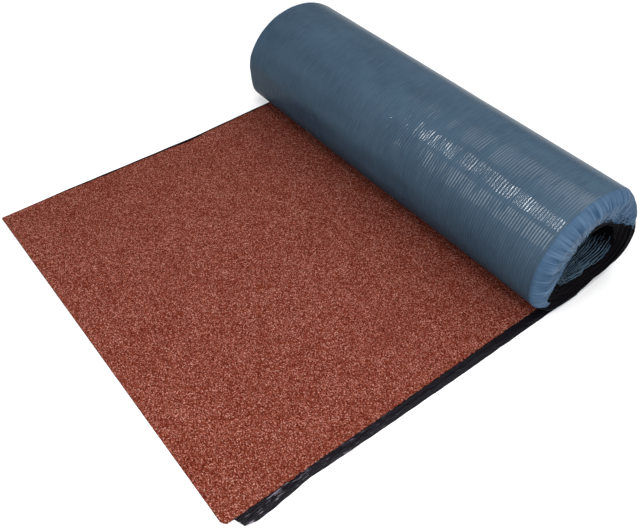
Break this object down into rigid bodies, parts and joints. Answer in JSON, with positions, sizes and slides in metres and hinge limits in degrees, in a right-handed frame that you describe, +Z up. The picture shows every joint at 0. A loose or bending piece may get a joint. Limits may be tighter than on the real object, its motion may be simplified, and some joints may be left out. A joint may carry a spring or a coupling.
{
  "type": "roll of roofing felt",
  "caption": "Mineral-surfaced bitumen roofing felt, partly unrolled: one flat sheet that winds up into a roll that is flattened underneath, with an open core and a bare lap edge.",
  "frame": {"origin": "on the floor, under the centre of the felt's box", "axes": "+X across the sheet, along the roll's axis, towards the lap edge; +Y from the free end towards the roll; +Z up"},
  "size_m": [1, 1.019, 0.2512],
  "materials": {
    "granules": "rough red-brown mineral granules bedded in bitumen",
    "film": "glossy blue-grey polyethylene film on the underside",
    "bitumen": "glossy black bitumen of the lap edge and cut edges"
  },
  "bodies": {
    "root": {"felt": "granules"}
  },
  "joints": []
}
